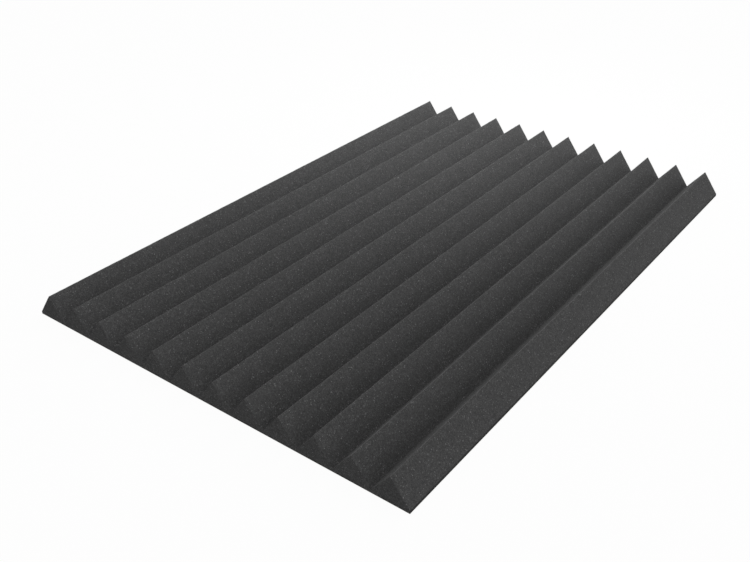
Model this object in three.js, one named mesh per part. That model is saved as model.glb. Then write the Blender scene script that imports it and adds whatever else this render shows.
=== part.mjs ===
// Acoustic foam panel: a sheet of charcoal open-cell foam whose face is cut into parallel V wedges,
// ready to stick to a wall with an adhesive film under a peel-off liner.
// Millimetres, +Z up. The panel lies on its flat back with its wedges up: +Y runs along the wedges,
// +X runs across them, and the origin is the centre of the back.

import * as THREE from "three";

// Driving dimensions
const panelLength = 1200;
const panelWidth = 810;
const wedgeCount = 12;
const wedgeHeight = 44.4;
const foamFloor = 4.75;
const filmThickness = 0.125;
const linerThickness = 0.125;

// The outer wedges end at a valley, so the width is a whole number of pitches.
const wedgePitch = panelWidth / wedgeCount;

// The back of the foam stands on the film, and the film stands on the liner.
const filmBottom = linerThickness;
const foamBottom = filmBottom + filmThickness;

// The zigzag that the cutter follows, seen from the near end, with the flat back under it.
function wedgeProfile() {
  const profile = new THREE.Shape();
  const left = -panelWidth / 2;
  profile.moveTo(left, 0);
  profile.lineTo(left + panelWidth, 0);
  profile.lineTo(left + panelWidth, foamFloor);
  for (let wedge = wedgeCount - 1; wedge >= 0; wedge -= 1) {
    const valley = left + wedge * wedgePitch;
    profile.lineTo(valley + wedgePitch / 2, foamFloor + wedgeHeight);
    profile.lineTo(valley, foamFloor);
  }
  return profile;
}

// An outline drawn in X and Z, drawn out along Y and centred on the origin.
function alongWedges(outline) {
  const geometry = new THREE.ExtrudeGeometry(outline, { depth: panelLength, bevelEnabled: false });
  geometry.rotateX(Math.PI / 2);
  geometry.translate(0, panelLength / 2, 0);
  return geometry;
}

// A sheet that covers the whole back, drawn in X and Z from its lower face up.
function sheetProfile(thickness) {
  const profile = new THREE.Shape();
  profile.moveTo(-panelWidth / 2, 0);
  profile.lineTo(panelWidth / 2, 0);
  profile.lineTo(panelWidth / 2, thickness);
  profile.lineTo(-panelWidth / 2, thickness);
  return profile;
}

// The foam: one piece, its wedges and floor cut from one slab.
function makeFoam() {
  const material = new THREE.MeshStandardMaterial({ color: 0x464646, roughness: 1, metalness: 0 });
  const foam = new THREE.Mesh(alongWedges(wedgeProfile()), material);
  foam.name = "foam_panel";
  foam.position.z = foamBottom;
  return foam;
}

// The adhesive: a clear film that stays on the foam and grips the wall.
function makeFilm() {
  const material = new THREE.MeshStandardMaterial({ color: 0xd8d2bc, roughness: 0.3, metalness: 0 });
  const film = new THREE.Mesh(alongWedges(sheetProfile(filmThickness)), material);
  film.name = "adhesive_film";
  film.position.z = filmBottom;
  return film;
}

// The liner: coated paper that is peeled off before the panel goes up.
function makeLiner() {
  const material = new THREE.MeshStandardMaterial({ color: 0xe6dfcb, roughness: 0.6, metalness: 0 });
  const liner = new THREE.Mesh(alongWedges(sheetProfile(linerThickness)), material);
  liner.name = "release_liner";
  return liner;
}

const panel = new THREE.Group();
panel.name = "acoustic_foam_panel";
panel.add(makeFoam());
panel.add(makeFilm());
panel.add(makeLiner());

export default panel;
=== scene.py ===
import math

import bmesh
import bpy
from mathutils import Matrix, Vector, noise


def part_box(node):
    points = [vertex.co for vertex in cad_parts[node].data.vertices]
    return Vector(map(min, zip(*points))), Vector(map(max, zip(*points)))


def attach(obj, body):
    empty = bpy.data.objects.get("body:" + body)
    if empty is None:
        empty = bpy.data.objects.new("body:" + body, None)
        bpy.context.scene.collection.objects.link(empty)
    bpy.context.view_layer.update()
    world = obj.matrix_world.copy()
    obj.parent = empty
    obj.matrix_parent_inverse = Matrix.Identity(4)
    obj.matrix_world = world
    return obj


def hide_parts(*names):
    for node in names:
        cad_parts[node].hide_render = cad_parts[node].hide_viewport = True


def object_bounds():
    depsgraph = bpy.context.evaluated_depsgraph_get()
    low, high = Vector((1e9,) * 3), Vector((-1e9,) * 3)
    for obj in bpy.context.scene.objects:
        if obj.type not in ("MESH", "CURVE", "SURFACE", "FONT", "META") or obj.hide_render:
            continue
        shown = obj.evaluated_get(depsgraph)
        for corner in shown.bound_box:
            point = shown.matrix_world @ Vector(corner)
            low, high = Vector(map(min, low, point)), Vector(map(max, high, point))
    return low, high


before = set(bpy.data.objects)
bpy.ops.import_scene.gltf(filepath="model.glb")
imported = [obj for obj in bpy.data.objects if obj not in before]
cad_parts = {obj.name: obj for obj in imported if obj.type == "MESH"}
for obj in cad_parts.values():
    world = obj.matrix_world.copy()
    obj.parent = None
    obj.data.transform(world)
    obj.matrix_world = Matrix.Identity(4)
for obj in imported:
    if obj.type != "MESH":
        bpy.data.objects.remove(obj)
cad_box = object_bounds()

# Foam sheet
# One slab of charcoal open-cell polyurethane foam. A running blade divides it along a zigzag, so the
# wedges and the floor under them are one piece. Its crests are a little more uneven and carry a thin
# painted highlight, and its long side walls carry a painted shade.
foam_low, foam_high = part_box("foam_panel")
WEDGES = 12
FLOOR = 0.00475
EDGE_SOFTNESS = 0.0005
CREST_SOFTNESS = 0.0002
RIM_SOFTNESS = 0.0001
SOFTENED_STEPS = 2
FLANK_CUTS = 11
LENGTH_CUTS = 250
END_CUTS = 9
SHORTEST_CUT_EDGE = 0.002
UPRIGHT_STEEPNESS = 6
HALF_SIDE = 0.5
UNEVENNESS = 0.00015
TORN_UNEVENNESS = 0.0001
UNEVEN_SPACING = 0.011
FINER_SPACING = 0.004
FINER_SHARE = 0.5
DRAG_SEED = 7

CELL_ACROSS = 0.0013
STRUT_CORE = 0.05
STRUT_REACH = 0.3
# The pores' colour is painted shade inside the cells.
PORE_SHADE_COLOUR = (0.048, 0.048, 0.0482, 1)
STRUT_COLOUR = (0.092, 0.092, 0.0925, 1)
# A few cell skins are painted lighter, as glints.
SKIN_GLINT_COLOUR = (0.24, 0.24, 0.241, 1)
LIGHT_RARITY = 2.0
LIGHT_STRETCH = 2
CELL_CONTRAST = 0.15
CLUMP_ACROSS = 0.0024
CLUMP_CONTRAST = 0.1
SKIN_ACROSS = 0.0013
SKIN_SHARE = 0.065
SKIN_FALL = 3.0
CLOUD_ACROSS = 0.03
CLOUD_DETAIL = 2.0
CLOUD_DARKEST = 0.25
CLOUD_LIGHTEST = 0.75
CLOUD_CONTRAST = 0.03
# The crest strip's colour is a painted highlight.
CREST_HIGHLIGHT_COLOUR = (0.17, 0.17, 0.1707, 1)
CREST_HIGHLIGHT_REACH = 0.98
# A painted shade on the long side walls and the feet of the flanks beside them.
PAINTED_WALL_SHADE = 0.64
PAINTED_WALL_SHADE_REACH = 0.75
CELL_RELIEF = 0.0004
CELL_BUMP = 0.5
FOAM_ROUGHNESS = 0.95
FOAM_SPECULAR = 0.1


def runs_along_wedges(edge):
    start, end = edge.verts
    return abs(start.co.x - end.co.x) < abs(start.co.y - end.co.y)


def is_upright(edge):
    start, end = edge.verts
    leaning = (start.co - end.co).xy.length
    return edge.calc_length() > max(SHORTEST_CUT_EDGE, UPRIGHT_STEEPNESS * leaning)


def mark(sheet, points, finish, amount):
    """Set one vertex value at these points: the crest strip, or the side walls' painted shade."""
    layer = sheet.verts.layers.float[finish]
    for point in points:
        if isinstance(point, bmesh.types.BMVert):
            point[layer] = amount


def crest_line(low, high):
    """How high the sharp crest starts, so that it reaches the top of the slab once it is rounded."""
    half_pitch = (high.x - low.x) / WEDGES / 2
    lean = math.atan2(half_pitch, high.z - low.z - FLOOR)
    return high.z + CREST_SOFTNESS * (1 - math.sin(lean)) / math.cos(lean)


def zigzag_face(low, high):
    """The cut face: a flat sheet at the valleys, with every other line lifted to a crest."""
    sheet = bmesh.new()
    sheet.verts.layers.float.new("crest_strip")
    sheet.verts.layers.float.new("painted_wall_shade")
    middle = Matrix.Translation(((low.x + high.x) / 2, (low.y + high.y) / 2, low.z + FLOOR))
    extent = Matrix.Diagonal((high.x - low.x, high.y - low.y, 1, 1))
    bmesh.ops.create_grid(
        sheet, x_segments=2 * WEDGES, y_segments=1, size=HALF_SIDE, matrix=middle @ extent
    )
    half_pitch = (high.x - low.x) / WEDGES / 2
    crests = [v for v in sheet.verts if round((v.co.x - low.x) / half_pitch) % 2]
    bmesh.ops.translate(sheet, verts=crests, vec=(0, 0, crest_line(low, high) - low.z - FLOOR))
    for face in sheet.faces:
        face.smooth = True
    return sheet


def soften(sheet, edges, depth):
    """Cut foam is never knife-sharp: a narrow rounded strip along each edge."""
    made = bmesh.ops.bevel(
        sheet,
        geom=edges,
        offset=depth,
        affect="EDGES",
        segments=SOFTENED_STEPS,
        profile=0.5,
        material=-1,
    )
    for strip in made["faces"]:
        strip.smooth = False
    return made["verts"]


def cut_finely(sheet):
    """Many small quads, so that the flanks can carry the unevenness of cut foam."""
    crossing = [e for e in sheet.edges if not runs_along_wedges(e)]
    flanks = [e for e in crossing if e.calc_length() > SHORTEST_CUT_EDGE]
    made = bmesh.ops.subdivide_edges(sheet, edges=flanks, cuts=FLANK_CUTS, use_grid_fill=True)
    mark(sheet, made["geom_inner"], "crest_strip", 0.0)
    lines = [e for e in sheet.edges if runs_along_wedges(e)]
    bmesh.ops.subdivide_edges(sheet, edges=lines, cuts=LENGTH_CUTS, use_grid_fill=True)


def close_below(sheet, back):
    """Walls from the rim straight down to the back, with a painted shade on the long sides, and the flat
    back.
    """
    rim = [e for e in sheet.edges if e.is_boundary]
    walls = bmesh.ops.extrude_edge_only(sheet, edges=rim)["geom"]
    foot = [g for g in walls if isinstance(g, bmesh.types.BMVert)]
    bmesh.ops.scale(sheet, verts=foot, vec=(1, 1, 0), space=Matrix.Translation((0, 0, -back)))
    mark(sheet, foot, "crest_strip", 0.0)
    soften(sheet, rim, RIM_SOFTNESS)
    fold_top = back + FLOOR + EDGE_SOFTNESS
    # The lower long side walls and their folds take a painted shade.
    wall = [v for v in sheet.verts if v.co.z < fold_top and abs(v.co.x) > foam_high.x - EDGE_SOFTNESS]
    mark(sheet, wall, "painted_wall_shade", 1.0)
    upright = [e for e in sheet.edges if is_upright(e)]
    made = bmesh.ops.subdivide_edges(sheet, edges=upright, cuts=END_CUTS, use_grid_fill=True)
    mark(sheet, made["geom_inner"], "crest_strip", 0.0)
    bmesh.ops.contextual_create(sheet, geom=[e for e in sheet.edges if e.is_boundary])
    bmesh.ops.recalc_face_normals(sheet, faces=sheet.faces[:])


def roughen(sheet, back):
    """The blade drags on the cells, so a cut face waves a little. The back stays flat on its film."""
    noise.seed_set(DRAG_SEED)
    crest_strip = sheet.verts.layers.float["crest_strip"]
    for vert in sheet.verts:
        if vert.co.z - back > EDGE_SOFTNESS:
            slow_drag = noise.noise_vector(vert.co / UNEVEN_SPACING)
            drag = slow_drag + noise.noise_vector(vert.co / FINER_SPACING) * FINER_SHARE
            vert.co += drag * (UNEVENNESS + TORN_UNEVENNESS * vert[crest_strip])


def put_in_order(sheet):
    """Bevel lists its faces in a new order each run, so they are sorted by their lowest three corners."""
    sheet.verts.index_update()
    count = len(sheet.verts)

    def rank(face):
        corners = sorted(corner.index for corner in face.verts)
        return (corners[0] * count + corners[1]) * count + corners[2]

    sheet.faces.sort(key=rank)


def as_object(shape, name):
    mesh = bpy.data.meshes.new(name)
    shape.to_mesh(mesh)
    shape.free()
    piece = bpy.data.objects.new(name, mesh)
    bpy.context.collection.objects.link(piece)
    return piece


def foam_body():
    sheet = zigzag_face(foam_low, foam_high)
    folds = [e for e in sheet.edges if runs_along_wedges(e) and not e.is_boundary]
    halfway = (foam_low.z + foam_high.z) / 2
    crests = [e for e in folds if e.verts[0].co.z > halfway]
    valleys = [e for e in folds if e.verts[0].co.z < halfway]
    soften(sheet, valleys, EDGE_SOFTNESS)
    # The rounded crest strip takes a painted highlight and a little more unevenness.
    mark(sheet, soften(sheet, crests, CREST_SOFTNESS), "crest_strip", 1.0)
    cut_finely(sheet)
    close_below(sheet, foam_low.z)
    roughen(sheet, foam_low.z)
    put_in_order(sheet)
    return as_object(sheet, "foam_sheet")


def add_node(tree, kind, inputs=None, **settings):
    """A shader node with its settings. An input is a value or another node's output, by identifier."""
    node = tree.nodes.new(kind)
    for name, value in settings.items():
        setattr(node, name, value)
    sockets = {socket.identifier: socket for socket in node.inputs}
    for name, value in (inputs or {}).items():
        if isinstance(value, bpy.types.NodeSocket):
            tree.links.new(value, sockets[name])
        else:
            sockets[name].default_value = value
    return node


def calculate(tree, operation, first, second):
    inputs = {"Value": first, "Value_001": second}
    return add_node(tree, "ShaderNodeMath", inputs, operation=operation).outputs["Value"]


def mix_colours(tree, share, first, second, blend="MIX"):
    inputs = {"Factor_Float": share, "A_Color": first, "B_Color": second}
    node = add_node(tree, "ShaderNodeMix", inputs, data_type="RGBA", blend_type=blend)
    return next(socket for socket in node.outputs if socket.identifier == "Result_Color")


def rescale(tree, value, low, high, to_low, to_high):
    inputs = {"Value": value, "From Min": low, "From Max": high, "To Min": to_low, "To Max": to_high}
    return add_node(tree, "ShaderNodeMapRange", inputs).outputs["Result"]


def few_light(tree, draw, contrast):
    """Shades about one from an even draw: most a little under it and a few well over it."""
    rare = calculate(tree, "POWER", draw, LIGHT_RARITY)
    return rescale(tree, rare, 0.0, 1.0, 1 - contrast, 1 + LIGHT_STRETCH * contrast)


def noise_pattern(tree, place, across, detail):
    inputs = {"Vector": place, "Scale": 1 / across, "Detail": detail}
    return add_node(tree, "ShaderNodeTexNoise", inputs).outputs["Fac"]


def new_material(name):
    material = bpy.data.materials.new(name)
    material.use_nodes = True
    return material, material.node_tree, material.node_tree.nodes["Principled BSDF"]


def open_cell_foam():
    """Cells about a millimetre across: painted shade in the pores, paler struts, and painted glints on a
    few skins.
    """
    material, tree, shader = new_material("open_cell_foam")
    place = add_node(tree, "ShaderNodeTexCoord").outputs["Object"]
    cell_scale = {"Vector": place, "Scale": 1 / CELL_ACROSS}
    cell = add_node(tree, "ShaderNodeTexVoronoi", cell_scale)
    rim = add_node(tree, "ShaderNodeTexVoronoi", cell_scale, feature="DISTANCE_TO_EDGE")
    strut = rescale(tree, rim.outputs["Distance"], STRUT_CORE, STRUT_REACH, 1.0, 0.0)
    # The pores between the struts are painted darker, as shade.
    colour = mix_colours(tree, strut, PORE_SHADE_COLOUR, STRUT_COLOUR)

    cell_split = add_node(tree, "ShaderNodeSeparateColor", {"Color": cell.outputs["Color"]})
    cell_draw = cell_split.outputs["Red"]
    cell_shade = few_light(tree, cell_draw, CELL_CONTRAST)
    clump = add_node(tree, "ShaderNodeTexVoronoi", {"Vector": place, "Scale": 1 / CLUMP_ACROSS})
    clump_split = add_node(tree, "ShaderNodeSeparateColor", {"Color": clump.outputs["Color"]})
    clump_draw = clump_split.outputs["Blue"]
    clump_shade = few_light(tree, clump_draw, CLUMP_CONTRAST)
    cloud = noise_pattern(tree, place, CLOUD_ACROSS, CLOUD_DETAIL)
    cloud_shade = rescale(
        tree, cloud, CLOUD_DARKEST, CLOUD_LIGHTEST, 1 - CLOUD_CONTRAST, 1 + CLOUD_CONTRAST
    )
    wider_shade = calculate(tree, "MULTIPLY", clump_shade, cloud_shade)
    shade = calculate(tree, "MULTIPLY", cell_shade, wider_shade)
    colour = mix_colours(tree, 1.0, colour, shade, blend="MULTIPLY")

    # A few cell skins are painted lighter, as painted glints.
    skin = add_node(tree, "ShaderNodeTexVoronoi", {"Vector": place, "Scale": 1 / SKIN_ACROSS})
    skin_split = add_node(tree, "ShaderNodeSeparateColor", {"Color": skin.outputs["Color"]})
    skin_size = rescale(tree, skin_split.outputs["Green"], 1 - SKIN_SHARE, 1.0, 0.0, 1.0)
    skin_glint_here = calculate(tree, "POWER", skin_size, SKIN_FALL)
    colour = mix_colours(tree, skin_glint_here, colour, SKIN_GLINT_COLOUR)

    # A thin painted highlight along the rounded crests.
    crest_strip = add_node(tree, "ShaderNodeAttribute", attribute_name="crest_strip").outputs["Fac"]
    crest_highlight_here = rescale(tree, crest_strip, CREST_HIGHLIGHT_REACH, 1.0, 0.0, 1.0)
    colour = mix_colours(tree, crest_highlight_here, colour, CREST_HIGHLIGHT_COLOUR)
    # A painted shade on the long side walls.
    painted_wall_shade = add_node(tree, "ShaderNodeAttribute", attribute_name="painted_wall_shade").outputs["Fac"]
    painted_wall_shade_factor = rescale(tree, painted_wall_shade, PAINTED_WALL_SHADE_REACH, 1.0, 1.0, PAINTED_WALL_SHADE)
    colour = mix_colours(tree, 1.0, colour, painted_wall_shade_factor, blend="MULTIPLY")
    tree.links.new(colour, shader.inputs["Base Color"])

    relief = {"Strength": CELL_BUMP, "Distance": CELL_RELIEF, "Height": strut}
    bump = add_node(tree, "ShaderNodeBump", relief)
    tree.links.new(bump.outputs["Normal"], shader.inputs["Normal"])
    shader.inputs["Roughness"].default_value = FOAM_ROUGHNESS
    shader.inputs["Specular IOR Level"].default_value = FOAM_SPECULAR
    return material


foam = foam_body()
foam.data.materials.append(open_cell_foam())
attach(foam, "root")
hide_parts("foam_panel")

# Adhesive film
# A pressure-sensitive acrylic film, an eighth of a millimetre thick, coated over the whole back of the
# foam. It is clear and faintly amber, a little cloudy, and only its edge shows until the liner is off.
FILM_COLOUR = (0.72, 0.66, 0.5, 1)
FILM_CLOUDY_COLOUR = (0.6, 0.54, 0.39, 1)
FILM_CLOUD_ACROSS = 0.012
FILM_CLOUD_DETAIL = 4.0
FILM_CLEAREST = 0.3
FILM_CLOUDIEST = 0.7
FILM_GLOSSIEST = 0.18
FILM_DULLEST = 0.34
FILM_RIPPLE = 0.00002
FILM_BUMP = 0.4
ACRYLIC_IOR = 1.47


def acrylic_film():
    material, tree, shader = new_material("acrylic_film")
    place = add_node(tree, "ShaderNodeTexCoord").outputs["Object"]
    cloud = noise_pattern(tree, place, FILM_CLOUD_ACROSS, FILM_CLOUD_DETAIL)
    cloudy = rescale(tree, cloud, FILM_CLEAREST, FILM_CLOUDIEST, 0.0, 1.0)
    colour = mix_colours(tree, cloudy, FILM_COLOUR, FILM_CLOUDY_COLOUR)
    tree.links.new(colour, shader.inputs["Base Color"])
    gloss = rescale(tree, cloud, FILM_CLEAREST, FILM_CLOUDIEST, FILM_GLOSSIEST, FILM_DULLEST)
    tree.links.new(gloss, shader.inputs["Roughness"])
    ripple = {"Strength": FILM_BUMP, "Distance": FILM_RIPPLE, "Height": cloud}
    bump = add_node(tree, "ShaderNodeBump", ripple)
    tree.links.new(bump.outputs["Normal"], shader.inputs["Normal"])
    shader.inputs["IOR"].default_value = ACRYLIC_IOR
    return material


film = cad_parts["adhesive_film"]
film.material_slots[0].material = acrylic_film()

# Release liner
# Bleached paper with a silicone face, an eighth of a millimetre thick, pressed on the film in one sheet
# and peeled off before the panel goes up. The foam's cells print through it as a fine orange peel.
PAPER_COLOUR = (0.8, 0.765, 0.685, 1)
PAPER_SHADE_COLOUR = (0.71, 0.67, 0.58, 1)
FIBRE_COLOUR = (0.58, 0.52, 0.41, 1)
PAPER_CLOUD_ACROSS = 0.05
PAPER_CLOUD_DETAIL = 5.0
PAPER_LIGHTEST = 0.35
PAPER_DARKEST = 0.65
FIBRE_ACROSS = 0.0007
FIBRE_LENGTH = 0.006
FIBRE_DETAIL = 3.0
FIBRE_FAINTEST = 0.58
FIBRE_PLAINEST = 0.75
FIBRE_STRENGTH = 0.5
PRINT_ACROSS = 0.0026
PRINT_DETAIL = 2.0
PRINT_RELIEF = 0.00015
WAVE_ACROSS = 0.11
WAVE_DETAIL = 1.0
WAVE_RELIEF = 0.003
PAPER_BUMP = 0.5
PAPER_GLOSSIEST = 0.34
PAPER_DULLEST = 0.5
SILICONE_COAT = 0.2
SILICONE_ROUGHNESS = 0.3


def siliconised_paper():
    """Cloudy paper with faint fibres along the web, pressed into shallow dimples and slow waves."""
    material, tree, shader = new_material("siliconised_paper")
    place = add_node(tree, "ShaderNodeTexCoord").outputs["Object"]
    cloud = noise_pattern(tree, place, PAPER_CLOUD_ACROSS, PAPER_CLOUD_DETAIL)
    cloudy = rescale(tree, cloud, PAPER_LIGHTEST, PAPER_DARKEST, 0.0, 1.0)
    colour = mix_colours(tree, cloudy, PAPER_COLOUR, PAPER_SHADE_COLOUR)

    fibre_scale = (1 / FIBRE_ACROSS, 1 / FIBRE_LENGTH, 1 / FIBRE_ACROSS)
    drawn = add_node(tree, "ShaderNodeMapping", {"Vector": place, "Scale": fibre_scale})
    fibre = noise_pattern(tree, drawn.outputs["Vector"], 1.0, FIBRE_DETAIL)
    fibre_here = rescale(tree, fibre, FIBRE_FAINTEST, FIBRE_PLAINEST, 0.0, FIBRE_STRENGTH)
    colour = mix_colours(tree, fibre_here, colour, FIBRE_COLOUR)
    tree.links.new(colour, shader.inputs["Base Color"])

    wave = noise_pattern(tree, place, WAVE_ACROSS, WAVE_DETAIL)
    waves = {"Strength": PAPER_BUMP, "Distance": WAVE_RELIEF, "Height": wave}
    slow = add_node(tree, "ShaderNodeBump", waves)
    dimple = noise_pattern(tree, place, PRINT_ACROSS, PRINT_DETAIL)
    dimples = {"Strength": PAPER_BUMP, "Distance": PRINT_RELIEF, "Height": dimple}
    fine = add_node(tree, "ShaderNodeBump", dimples)
    tree.links.new(slow.outputs["Normal"], fine.inputs["Normal"])
    tree.links.new(fine.outputs["Normal"], shader.inputs["Normal"])
    gloss = rescale(tree, cloud, PAPER_LIGHTEST, PAPER_DARKEST, PAPER_GLOSSIEST, PAPER_DULLEST)
    tree.links.new(gloss, shader.inputs["Roughness"])
    shader.inputs["Coat Weight"].default_value = SILICONE_COAT
    shader.inputs["Coat Roughness"].default_value = SILICONE_ROUGHNESS
    return material


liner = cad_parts["release_liner"]
liner.material_slots[0].material = siliconised_paper()

# Studio floor
# A seamless white floor, whose white is its own and not more light on the panel. It keeps the shadow.
# It is cut away under the panel and clear from behind, so that the back can be looked at from below.
FLOOR_REACH = 12.0
FLOOR_LAP = 0.004
FLOOR_DROP = 0.0003
FLOOR_COLOUR = (0.85, 0.85, 0.85, 1)
FLOOR_ROUGHNESS = 1.0
BOUNCE_COLOUR = (0.22, 0.22, 0.22, 1)
GLOW_SHARE = 0.96
WHITE = (1, 1, 1, 1)
WHITE_STRENGTH = 1.0


def floor_plane():
    low, high = cad_box
    middle = (low + high) / 2
    place = Matrix.Translation((middle.x, middle.y, low.z - FLOOR_DROP))
    hole = Matrix.Diagonal((high.x - low.x - 2 * FLOOR_LAP, high.y - low.y - 2 * FLOOR_LAP, 1, 1))
    plane = bmesh.new()
    bmesh.ops.create_grid(plane, x_segments=1, y_segments=1, size=HALF_SIDE, matrix=place @ hole)
    under_panel = plane.faces[:]
    spread = bmesh.ops.extrude_edge_only(plane, edges=plane.edges[:])["geom"]
    rim = [g for g in spread if isinstance(g, bmesh.types.BMVert)]
    bmesh.ops.scale(plane, verts=rim, vec=(FLOOR_REACH, FLOOR_REACH, 1))
    bmesh.ops.delete(plane, geom=under_panel, context="FACES_ONLY")
    for face in plane.faces:
        if face.normal.z < 0:
            face.normal_flip()
    return as_object(plane, "studio_floor")


def seen_directly(tree):
    """One for rays from the camera, and for reflections and refractions of it."""
    path = add_node(tree, "ShaderNodeLightPath").outputs
    mirrored = calculate(tree, "MAXIMUM", path["Is Camera Ray"], path["Is Glossy Ray"])
    return calculate(tree, "MAXIMUM", mirrored, path["Is Transmission Ray"])


def blend_shaders(tree, share, first, second):
    node = add_node(tree, "ShaderNodeMixShader", {"Fac": share})
    tree.links.new(first, node.inputs[1])
    tree.links.new(second, node.inputs[2])
    return node.outputs["Shader"]


def white_floor():
    material, tree, shader = new_material("white_floor")
    shader.inputs["Base Color"].default_value = FLOOR_COLOUR
    shader.inputs["Roughness"].default_value = FLOOR_ROUGHNESS
    shader.inputs["Specular IOR Level"].default_value = 0.0
    glow = add_node(tree, "ShaderNodeEmission", {"Color": WHITE, "Strength": WHITE_STRENGTH})
    white = blend_shaders(tree, GLOW_SHARE, shader.outputs["BSDF"], glow.outputs["Emission"])
    bounce = add_node(tree, "ShaderNodeBsdfDiffuse", {"Color": BOUNCE_COLOUR})
    above = blend_shaders(tree, seen_directly(tree), bounce.outputs["BSDF"], white)
    behind = add_node(tree, "ShaderNodeNewGeometry").outputs["Backfacing"]
    clear = add_node(tree, "ShaderNodeBsdfTransparent").outputs["BSDF"]
    whole = blend_shaders(tree, behind, above, clear)
    tree.links.new(whole, tree.nodes["Material Output"].inputs["Surface"])
    return material


floor = floor_plane()
floor.data.materials.append(white_floor())

# Light
# An even white surround and three plain white softboxes: one hung over the far end and aimed at its left
# corner, a low one off the far right corner, and one under the floor for when the back is looked at.
SURROUND = 0.72
PANEL_MIDDLE = (0.0, 0.0, 0.0)
FAR_PLACE = (-0.1, 0.6, 0.7)
FAR_TARGET = (-0.45, 0.6, 0.0)
FAR_ACROSS = 0.9
FAR_POWER = 4.5
CORNER_PLACE = (2.21, 2.21, 0.67)
CORNER_ACROSS = 1.6
CORNER_POWER = 10.7
UNDER_PLACE = (0.3, -0.5, -2.5)
UNDER_ACROSS = 2.0
UNDER_POWER = 18.0


def white_surround():
    world = bpy.data.worlds.new("white_surround")
    world.use_nodes = True
    tree = world.node_tree
    strength = rescale(tree, seen_directly(tree), 0.0, 1.0, SURROUND, WHITE_STRENGTH)
    tree.links.new(strength, tree.nodes["Background"].inputs["Strength"])
    tree.nodes["Background"].inputs["Color"].default_value = WHITE
    bpy.context.scene.world = world


def softbox(name, place, target, across, power):
    lamp = bpy.data.lights.new(name, "AREA")
    lamp.shape = "SQUARE"
    lamp.size = across
    lamp.energy = power
    rig = bpy.data.objects.new(name, lamp)
    rig.location = place
    rig.rotation_euler = (Vector(target) - Vector(place)).to_track_quat("-Z", "Y").to_euler()
    rig.visible_camera = False
    bpy.context.collection.objects.link(rig)


white_surround()
softbox("far_softbox", FAR_PLACE, FAR_TARGET, FAR_ACROSS, FAR_POWER)
softbox("corner_softbox", CORNER_PLACE, PANEL_MIDDLE, CORNER_ACROSS, CORNER_POWER)
softbox("under_softbox", UNDER_PLACE, PANEL_MIDDLE, UNDER_ACROSS, UNDER_POWER)
bpy.context.scene.view_settings.view_transform = "Standard"

# Camera
# A full-frame camera on a tripod, off the near right corner and a little under a metre up, turned to
# look down and to the left over the wedges.
SENSOR_WIDTH = 36.0
LENS = 43.455
CAMERA_PLACE = (0.8908, -1.3264, 0.9119)
LEVEL = 90
LOOKS_DOWN = 31.819
TURNED_LEFT = 36.871

camera_data = bpy.data.cameras.new("camera")
camera_data.sensor_width = SENSOR_WIDTH
camera_data.lens = LENS
camera = bpy.data.objects.new("camera", camera_data)
camera.location = CAMERA_PLACE
camera.rotation_euler = (math.radians(LEVEL - LOOKS_DOWN), 0, math.radians(TURNED_LEFT))
bpy.context.collection.objects.link(camera)
bpy.context.scene.camera = camera
